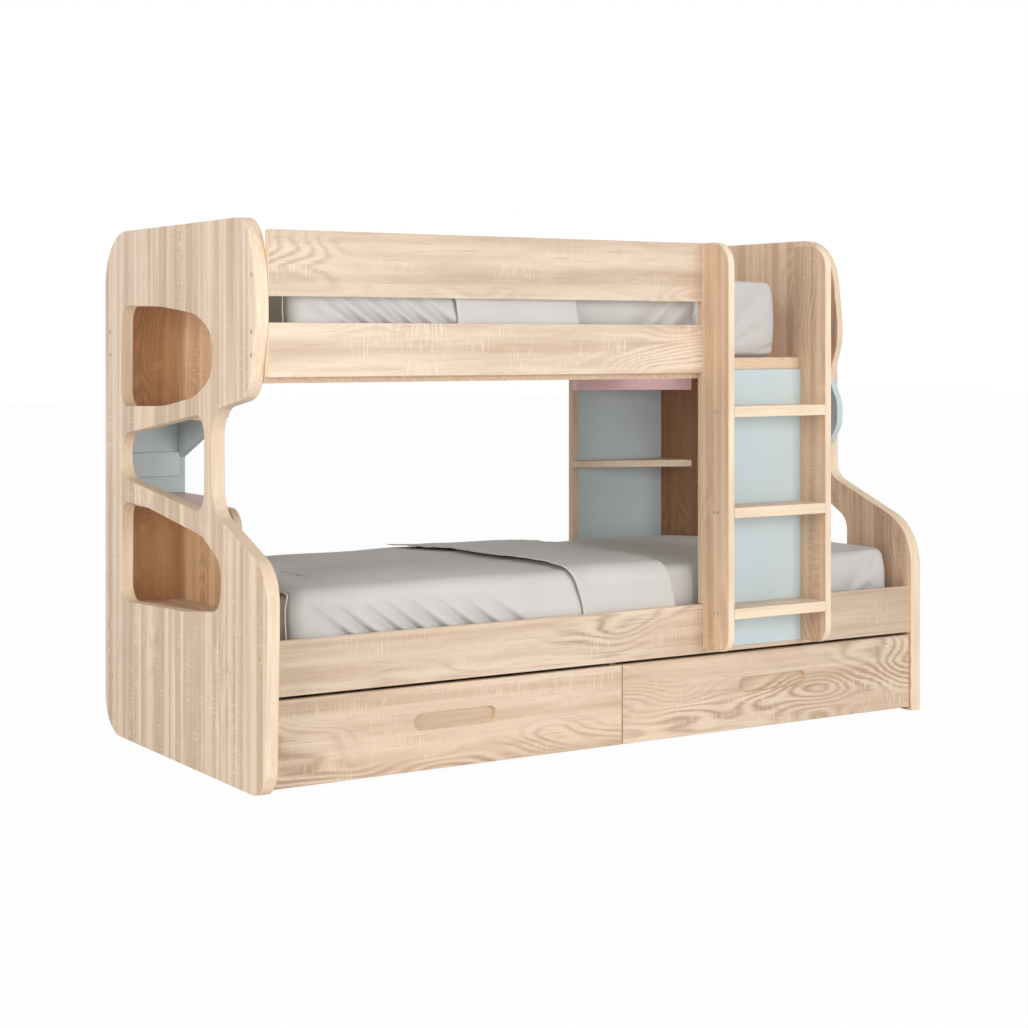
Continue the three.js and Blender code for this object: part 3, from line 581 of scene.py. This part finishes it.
def make_mattress(name, node, right, back_right, bottom, height, front_fall, seed):
    """A sprung mattress on a plan notched round the shelves at its back corners. Going up the side,
    the wall is drawn in at the two seams and swells between them; the edge is a quarter of a circle
    that ends level, and from there the top runs in to the middle, less its fall to the sides. A slow
    ripple lies over the sheet."""
    low, high = box_of(node)
    front, back = low[1] + MATTRESS_SET_BACK, high[1]
    plan = mattress_plan(right, back_right, front, back)
    ahead = np.roll(plan, -1, axis=0) - np.roll(plan, 1, axis=0)
    ahead /= np.linalg.norm(ahead, axis=1)[:, None]
    inward = np.stack([-ahead[:, 1], ahead[:, 0]], axis=1)

    # The profile: how far in and how high each ring of the plan lies
    side = np.linspace(0, 1, WALL_ROWS)
    rise = bottom + EDGE_ROUND * 0.5 + (height - EDGE_ROUND * 1.5) * side
    swell = WALL_SWELL * (1 - np.sin(side * math.pi)) ** 1.5
    under = np.linspace(0, 1, FOOT_ROWS + 1)[:-1]
    bend = np.linspace(0, math.pi / 2, EDGE_ROWS + 1)[1:]
    foot_in = FOOT_TAPER * (1 - np.sin(under * math.pi / 2)) + swell[0]
    insets = np.concatenate([foot_in, swell, swell[-1] + EDGE_ROUND * (1 - np.cos(bend))])
    foot_up = bottom + EDGE_ROUND * 0.5 * under
    heights = np.concatenate([foot_up, rise, rise[-1] + EDGE_ROUND * np.sin(bend)])
    rings = plan[None] + inward[None] * insets[:, None, None]
    rings = np.concatenate([rings, np.broadcast_to(heights[:, None, None], rings.shape[:2] + (1,))], axis=2)

    # The top: rings that shrink to a point in the middle of the mattress's front part
    centre = np.array([(CORNER[0] + NOTCH_X + right) / 2, (front + CORNER[1] + FRONT_PART_BACK) / 2])
    reach = np.linspace(0, 1, LID_ROWS + 1)[1:]
    last = rings[-1]
    inner = last[None, :, :2] + (centre - last[:, :2])[None] * reach[:, None, None]
    inner = np.concatenate([inner, np.full(inner.shape[:2] + (1,), last[0, 2])], axis=2)
    points = np.concatenate([rings, inner])

    # Ripple, fall and creases
    wave = ripple(points[..., 0], points[..., 1], seed, *RIPPLE_WAVES)
    lift = np.clip((points[..., 2] - rise[-1]) / RIPPLE_CLIMB, 0, 1)
    points[..., 2] += RIPPLE_HEIGHT * (wave - RIPPLE_SUNK) * lift
    raised = np.clip((points[..., 2] - bottom) / height, 0, 1) ** 2
    points[..., 2] -= fall(points[..., 0], points[..., 1], front_fall) * raised
    row = np.arange(len(insets))
    wall = np.zeros(len(points))
    wall[:len(insets)] = np.clip(np.minimum(row - 2, len(insets) - 2 - row) / 4, 0, 1)
    depth = creases(points[..., 0], points[..., 1], points[..., 2], right, front, bottom)
    points[..., :2] += inward[None] * (depth * wall[:, None])[..., None]

    # The last ring has closed on the middle: one point stands for all of it, and one closes the foot
    rows, columns = points.shape[:2]
    top_point = (rows - 1) * columns
    flat = points.reshape(-1, 3)
    foot_point = [[centre[0], centre[1], bottom]]
    flat = np.concatenate([flat[:top_point], flat[top_point:top_point + 1], foot_point])
    i = np.arange(columns)
    j = (i + 1) % columns
    inmost = (rows - 2) * columns
    lid = np.stack([inmost + i, inmost + j, np.full(columns, top_point)], axis=1)
    foot = np.stack([j, i, np.full(columns, top_point + 1)], axis=1)
    faces = grid_faces(rows - 1, columns, around=True).tolist() + lid.tolist() + foot.tolist()
    # The threads run along the bed on the top and slantwise up the walls
    made = piece(name, flat, faces, sheet_satin, flat[:, :2] + flat[:, 2:] * 0.7)
    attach(made, "frame")
    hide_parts(node)
    return made


# ----------------------------------------------------------------- blankets
# The bend over the mattress's front edge, and the one round its left corner, with the share of it
# that is gone round and how far back on the top it is felt
FRONT_ROUND = 0.036
LEFT_ROUND = 0.045
LEFT_TURN = 0.94
LEFT_TURN_REACH = 0.12
# The shelves' inner wall, from the bed's corner: left of it the blanket is cut obliquely, on a line
# through the start given here to the cut's end at that wall
CUT_X = 0.256
CUT_START_X, CUT_START_Y, CUT_END_Y = 0.08, 0.455, 0.604
CUT_LAST_ROW = 0.002
# The half circle in which the blanket turns back, and its lie above the mattress
TURN_ROUND = 0.0042
LIE = 0.0012
CLOTH_THICKNESS = 0.0024
PIPING_RADIUS = 0.0021
PIPING_SIDES = 8
# The left edge swings to the right where it comes up on the top: how far, over what drop
SWING, SWING_DROP = 0.014, 0.024
# The free edge's curl at the back and what it grows by to the front, and how wide it is
CURL_BACK, CURL_GROWTH, CURL_WIDTH = 0.0025, 0.005, 0.035
# Waves of the top, long ones and short ones that run along the bed: how high they are, and their
# number and their shortest and longest length; then their middle and their lowest level
LONG_HEIGHT, LONG_WAVES = 0.0016, (8, 0.25, 0.8)
SHORT_HEIGHT, SHORT_WAVES, SHORT_SQUEEZE = 0.0011, (6, 0.05, 0.13), 0.2
WAVE_MIDDLE, WAVE_LOWEST = 0.006, 0.0035
# Folds of the hang: how far the cloth stands out between them and sinks in them, and what share of
# each the turned-back part loses; how wide a fold is on its left and on its right, and how far it
# moves to the right for each metre of drop
FOLD_RIDGE, FOLD_VALLEY = 0.0095, 0.0205
RIDGE_LOSS, VALLEY_LOSS = 0.75, 0.9
FOLD_LEFT, FOLD_RIGHT = 0.03, 0.011
FOLD_SLANT = 1.32
# Points across the bed: on the top, round the bend and down the hang
FLAT_COLUMNS, BEND_COLUMNS, HANG_COLUMNS = 89, 14, 29
# Points along the bed: left of the shelves' inner wall, up to the turn, in it, and back to the fold
CUT_ROWS, PLAIN_ROWS, TURN_ROWS, BACK_ROWS = 19, 209, 6, 60


def blanket_folds(x, drop, places, shown, start):
    """Slanting folds of the hanging side, each through its place where the drop is as shown. Across
    a fold the depth is a bell, wide on its left and narrow on its right; it grows from start down.
    Gives the depth, and the share to which the folds have grown."""
    total = np.zeros_like(x)
    for place, strength in places:
        off = x - place - FOLD_SLANT * (drop - shown)
        width = np.where(off < 0, FOLD_LEFT, FOLD_RIGHT)
        total = np.maximum(total, strength * np.exp(-(off / width) ** 2))
    grown = np.clip((drop - start) / (shown - start + 0.012), 0, 1) ** 1.4
    return total * grown, grown


def make_blanket(name, node, left, fold, end, top, front, back, hang, folds, front_fall, seed):
    """A blanket laid over a mattress and turned back on itself.

    Across the bed it goes from the back over the top, round the front edge as a quarter circle and
    down to its hem. Along the bed it runs from left to end, turns over in a half circle and comes
    back to fold, a little above itself, with its free edge curling up. Fold and end each give the
    place at the back, at the front edge and at the hem: straight over the top, then curving to
    upright by a square law. Left of the shelves' inner wall the blanket is cut obliquely, as the
    mattress is. Slow waves lie on the top, and slanting folds hang at the front."""
    # The columns, the same in every row: share of the flat part, angle of the bend, hang and drop
    past_flat = BEND_COLUMNS + HANG_COLUMNS
    share = np.concatenate([np.linspace(0, 1, FLAT_COLUMNS + 1)[:-1], np.ones(past_flat)])
    bend = np.linspace(0, math.pi / 2, BEND_COLUMNS)
    angle = np.concatenate([np.zeros(FLAT_COLUMNS), bend, np.full(HANG_COLUMNS, math.pi / 2)])
    hung = np.linspace(0, hang - FRONT_ROUND, HANG_COLUMNS + 1)[1:]
    hung = np.concatenate([np.zeros(FLAT_COLUMNS + BEND_COLUMNS), hung])
    drop = hung + FRONT_ROUND * angle
    full_drop = drop[-1]

    def landmark(places):
        at_back, at_edge, at_hem = places
        bow = 1 - (1 - drop / full_drop) ** 2
        return at_back + (at_edge - at_back) * share + (at_hem - at_edge) * bow

    # The rows: where each lies along the bed, and how far round the turn it is
    fold_x, end_x = landmark(fold), landmark(end)
    cut_x = CORNER[0] + CUT_X
    rows_x = np.append(np.linspace(left, cut_x - CUT_LAST_ROW, CUT_ROWS - 1), cut_x)
    left_edge = left + SWING * np.exp(-(drop / SWING_DROP) ** 2)
    cut_part = cut_x + (rows_x[:, None] - cut_x) * (cut_x - left_edge) / (cut_x - left)
    onward = np.linspace(0, 1, PLAIN_ROWS + 1)[1:, None]
    plain_part = cut_x + (end_x[None] - cut_x) * onward
    turn_part = np.repeat(end_x[None], TURN_ROWS, axis=0)
    back_part = end_x[None] + (fold_x - end_x)[None] * np.linspace(0, 1, BACK_ROWS)[:, None]
    xs = np.concatenate([cut_part, plain_part, turn_part, back_part])
    half_turn = np.linspace(0, math.pi, TURN_ROWS + 2)[1:-1]
    turn = np.concatenate([np.zeros(CUT_ROWS + PLAIN_ROWS), half_turn, np.full(BACK_ROWS, math.pi)])[:, None]
    xs = xs + TURN_ROUND * np.sin(turn)

    # The surface under the cloth
    cut_xs = [CORNER[0] + CUT_START_X, cut_x - CUT_LAST_ROW / 2, cut_x - CUT_LAST_ROW / 4]
    cut_ys = [CORNER[1] + CUT_START_Y, CORNER[1] + CUT_END_Y, back]
    cut_back = np.interp(xs[:, 0], cut_xs, cut_ys)
    run = (cut_back[:, None] - front - FRONT_ROUND) * (1 - share[None])
    y = front + FRONT_ROUND - FRONT_ROUND * np.sin(angle)[None] + run
    z = top - FRONT_ROUND + FRONT_ROUND * np.cos(angle)[None] - hung[None]
    # Round the mattress's left corner the hanging side turns back, as a part of a circle
    turned_back = np.clip((left + LEFT_ROUND - xs) / LEFT_ROUND, 0, 1) * LEFT_TURN
    y = y + LEFT_ROUND * (1 - np.sqrt(1 - turned_back ** 2)) * np.clip(1 - run / LEFT_TURN_REACH, 0, 1)
    z = z - fall(xs, y, front_fall)

    # How far the cloth stands off it: the turned part's height, the waves of the top and the folds
    upper = turn > math.pi / 2
    near_edge = np.exp(-((xs - fold_x[None]) / CURL_WIDTH) ** 2) * upper
    curl = (CURL_BACK + CURL_GROWTH * share) * near_edge
    lift = TURN_ROUND * (1 - np.cos(turn)) + LIE + curl
    on_top = 1 - np.clip(drop / full_drop * 2, 0, 1)[None]
    waves = ripple(xs, y, seed, *LONG_WAVES) * LONG_HEIGHT
    waves = waves + ripple(xs * SHORT_SQUEEZE, y, seed + 1, *SHORT_WAVES) * SHORT_HEIGHT
    waves = np.maximum(waves + WAVE_MIDDLE, WAVE_LOWEST)
    valley, grown = blanket_folds(xs - CORNER[0], np.broadcast_to(drop, xs.shape), *folds)
    stand = FOLD_RIDGE * grown * (1 - RIDGE_LOSS * upper)
    stand = stand - FOLD_VALLEY * valley * (1 - VALLEY_LOSS * upper)
    proud = lift + waves * on_top + stand
    normal_y, normal_z = -np.sin(angle)[None], np.cos(angle)[None]
    points = np.stack([xs, y + normal_y * proud, z + normal_z * proud], axis=-1)

    # The flat cloth: its running lengths along the bed and across it
    rows, columns = xs.shape
    step = np.hypot(np.diff(xs, axis=0), np.diff(lift, axis=0))
    along = np.concatenate([np.zeros((1, columns)), np.cumsum(step, axis=0)])
    across = full_drop + run - drop[None]
    uv = np.stack([along, across], axis=-1).reshape(-1, 2)
    faces = grid_faces(rows, columns)[:, ::-1].tolist()
    made = piece(name, points.reshape(-1, 3), faces, blanket_satin, uv)
    solid = made.modifiers.new("cloth_thickness", "SOLIDIFY")
    solid.thickness = CLOTH_THICKNESS
    solid.offset = 0.0
    edge = points[0] - np.array([CLOTH_THICKNESS / 2, 0.0, 0.0])
    hem = tube(name + "_piping", edge[::2], PIPING_RADIUS, PIPING_SIDES, piping)
    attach(hem, "frame")
    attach(made, "frame")
    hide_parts(node)
    return made


# ------------------------------------------------------------------ bedding
lower_low, lower_high = box_of("lower_mattress")
upper_low, upper_high = box_of("upper_mattress")
# How far the made-up mattresses differ from their solids: the lower one at its right end and on
# top, the upper one on top; the upper one ends at the middle of the ladder
LOWER_REACH = 0.008
LOWER_SINK = 0.005
UPPER_RISE = 0.009
LOWER_FRONT_FALL, UPPER_FRONT_FALL = 0.008, 0.0
UPPER_RIGHT = CORNER[0] + 1.698
CORNER_UNIT_X = CORNER[0] + 1.946
lower_mattress = make_mattress(
    "lower_bed_mattress", "lower_mattress",
    right=lower_high[0] + LOWER_REACH, back_right=CORNER_UNIT_X,
    bottom=lower_low[2], height=lower_high[2] - lower_low[2] - LOWER_SINK,
    front_fall=LOWER_FRONT_FALL, seed=11,
)
upper_mattress = make_mattress(
    "upper_bed_mattress", "upper_mattress",
    right=UPPER_RIGHT, back_right=UPPER_RIGHT,
    bottom=upper_low[2], height=upper_high[2] - upper_low[2] + UPPER_RISE,
    front_fall=UPPER_FRONT_FALL, seed=23,
)

# Folds of the hanging sides: X from the bed's corner, then how deep beside the others
LOWER_FOLDS = [
    (0.229, 0.7), (0.297, 0.95), (0.375, 1.0), (0.437, 1.0),
    (0.507, 1.0), (0.587, 0.95), (0.66, 0.9), (0.742, 0.75),
]
UPPER_FOLDS = [(0.215, 0.4), (0.279, 1.0), (0.345, 1.0), (0.408, 0.95), (0.462, 0.9), (0.536, 0.9)]
# How far the blankets stand before the mattress solids and above the made-up mattresses, and where
# their back edges lie. After its folds, each blanket gives the drop at which their places are as
# listed, and the drop at which they start
FRONT_GAP = 0.0005
TOP_GAP = 0.0008
BLANKET_BACK = CORNER[1] + 0.97
make_blanket(
    "lower_bed_blanket", "lower_blanket",
    left=CORNER[0] + 0.112, fold=along_bed(0.865, 0.93, 0.983), end=along_bed(1.258, 1.26, 1.291),
    top=lower_high[2] - LOWER_SINK + TOP_GAP, front=lower_low[1] - FRONT_GAP, back=BLANKET_BACK,
    hang=0.125, folds=(LOWER_FOLDS, 0.1, 0.032), front_fall=LOWER_FRONT_FALL, seed=5,
)
make_blanket(
    "upper_bed_blanket", "upper_blanket",
    left=CORNER[0] + 0.105, fold=along_bed(0.47, 0.555, 0.588), end=along_bed(0.93, 0.94, 0.967),
    top=upper_high[2] + UPPER_RISE + TOP_GAP, front=upper_low[1] - FRONT_GAP, back=BLANKET_BACK,
    hang=0.149, folds=(UPPER_FOLDS, 0.122, 0.066), front_fall=UPPER_FRONT_FALL, seed=9,
)

# ------------------------------------------------------------ small fittings
# Cover caps on the outer face of the left end: (Y, Z) from the bed's corner, in mm
CAP_PLACES = [
    (87, 1275), (87, 1135), (87, 1078), (1031, 1138),
    (1027, 1073), (40, 340), (31, 300), (1015, 162),
]
MM_IN_A_METRE = 1000
CAP_RADIUS, CAP_DEPTH = 0.0065, 0.0006
for count, (cap_y, cap_z) in enumerate(CAP_PLACES):
    place = CORNER + np.array([0.0, cap_y / MM_IN_A_METRE, cap_z / MM_IN_A_METRE])
    disc(f"cover_cap_{count + 1}", place, (-1, 0, 0), CAP_RADIUS, CAP_DEPTH, cap_wood)
# Two bolt heads beside each step, on the outer faces of the stiles: heights, and Y from the corner
BOLT_HEIGHTS = (0.356, 0.636, 0.916)
BOLT_PAIR = (-0.006, 0.01)
BOLT_RADIUS, BOLT_DEPTH = 0.0045, 0.0012
for node, direction in (("ladder_left_stile", -1), ("ladder_right_stile", 1)):
    low, high = box_of(node)
    face_x = low[0] if direction < 0 else high[0]
    places = [(bolt_y, bolt_z) for bolt_z in BOLT_HEIGHTS for bolt_y in BOLT_PAIR]
    for count, (bolt_y, bolt_z) in enumerate(places):
        place = np.array([face_x, CORNER[1] + bolt_y, bolt_z])
        name = f"{node}_bolt_{count + 1}"
        disc(name, place, (direction, 0, 0), BOLT_RADIUS, BOLT_DEPTH, bolt_grey)

# ---------------------------------------------------------- floor and lights
FLOOR_HALF = 30
FLOOR_GREY = 0.9
# How much of the floor that the camera sees is plain white; the rest is the lit floor, which shows
# the bed's shadow
FLOOR_WHITE = 0.965
SKY_STRENGTH = 0.38
floor_white = bpy.data.materials.new("studio_white")
floor_corners = [(x * FLOOR_HALF, y * FLOOR_HALF, 0) for x, y in ((-1, -1), (1, -1), (1, 1), (-1, 1))]
piece("studio_floor", floor_corners, [(0, 1, 2, 3)], floor_white, smooth=False)
floor_white.use_nodes = True
tree = floor_white.node_tree
ground = tree.nodes["Principled BSDF"]
ground.inputs["Base Color"].default_value = (FLOOR_GREY, FLOOR_GREY, FLOOR_GREY, 1)
ground.inputs["Roughness"].default_value = 0.9
glow = tree.nodes.new("ShaderNodeEmission")
glow.inputs["Strength"].default_value = 1.0
path = tree.nodes.new("ShaderNodeLightPath")
blend = tree.nodes.new("ShaderNodeMixShader")
share = tree.nodes.new("ShaderNodeMath")
share.operation = "MULTIPLY"
share.inputs[1].default_value = FLOOR_WHITE
tree.links.new(path.outputs["Is Camera Ray"], share.inputs[0])
tree.links.new(share.outputs[0], blend.inputs[0])
tree.links.new(ground.outputs[0], blend.inputs[1])
tree.links.new(glow.outputs[0], blend.inputs[2])
tree.links.new(blend.outputs[0], tree.nodes["Material Output"].inputs["Surface"])

# The camera and glossy surfaces see white; everything else is lit by a weaker sky
world = bpy.data.worlds.new("studio_world")
bpy.context.scene.world = world
world.use_nodes = True
tree = world.node_tree
sky = tree.nodes["Background"]
sky.inputs["Color"].default_value = (1, 1, 1, 1)
sky.inputs["Strength"].default_value = SKY_STRENGTH
shown = tree.nodes.new("ShaderNodeBackground")
shown.inputs["Color"].default_value = (1, 1, 1, 1)
shown.inputs["Strength"].default_value = 1.0
path = tree.nodes.new("ShaderNodeLightPath")
either = tree.nodes.new("ShaderNodeMath")
either.operation = "MAXIMUM"
blend = tree.nodes.new("ShaderNodeMixShader")
tree.links.new(path.outputs["Is Camera Ray"], either.inputs[0])
tree.links.new(path.outputs["Is Glossy Ray"], either.inputs[1])
tree.links.new(either.outputs[0], blend.inputs[0])
tree.links.new(sky.outputs[0], blend.inputs[1])
tree.links.new(shown.outputs[0], blend.inputs[2])
tree.links.new(blend.outputs[0], tree.nodes["World Output"].inputs["Surface"])


def lamp(name, place, target, size, power, color=(1.0, 1.0, 1.0)):
    """A square soft lamp that faces its target."""
    data = bpy.data.lights.new(name, "AREA")
    data.shape = "SQUARE"
    data.size = size
    data.energy = power
    data.color = color
    made = bpy.data.objects.new(name, data)
    bpy.context.scene.collection.objects.link(made)
    made.location = place
    aim = np.array(target, dtype=float) - np.array(place, dtype=float)
    flat = math.hypot(aim[0], aim[1])
    made.rotation_euler = (math.atan2(flat, -aim[2]), 0, math.atan2(aim[1], aim[0]) - math.pi / 2)


lamp("key_lamp", (0.8, -7.0, 1.9), (0, 0, 0.75), 3.6, 236)
lamp("side_lamp", (-6.5, -2.4, 2.0), (0, 0, 0.7), 3.0, 200, color=(1.0, 0.96, 0.91))
lamp("top_lamp", (0.0, -1.5, 5.5), (0, 0, 0.5), 4.0, 60)

# The photograph's camera looks level, so the place of its horizon in the picture is a shift. The
# focal length and the horizon's height above the middle are in the photograph's pixels
PHOTO_WIDTH = 1028.0
FOCAL_LENGTH = 2016.0
HORIZON_SHIFT = 172.2
SENSOR_WIDTH = 36.0
camera_data = bpy.data.cameras.new("photo_camera")
camera = bpy.data.objects.new("photo_camera", camera_data)
bpy.context.scene.collection.objects.link(camera)
camera.location = (-3.202, -4.935, 1.1106)
camera.rotation_euler = (math.radians(90), 0, math.radians(-32.41))
camera_data.sensor_width = SENSOR_WIDTH
camera_data.lens = SENSOR_WIDTH * FOCAL_LENGTH / PHOTO_WIDTH
camera_data.shift_y = -HORIZON_SHIFT / PHOTO_WIDTH
bpy.context.scene.camera = camera

bpy.context.scene.view_settings.view_transform = "Standard"
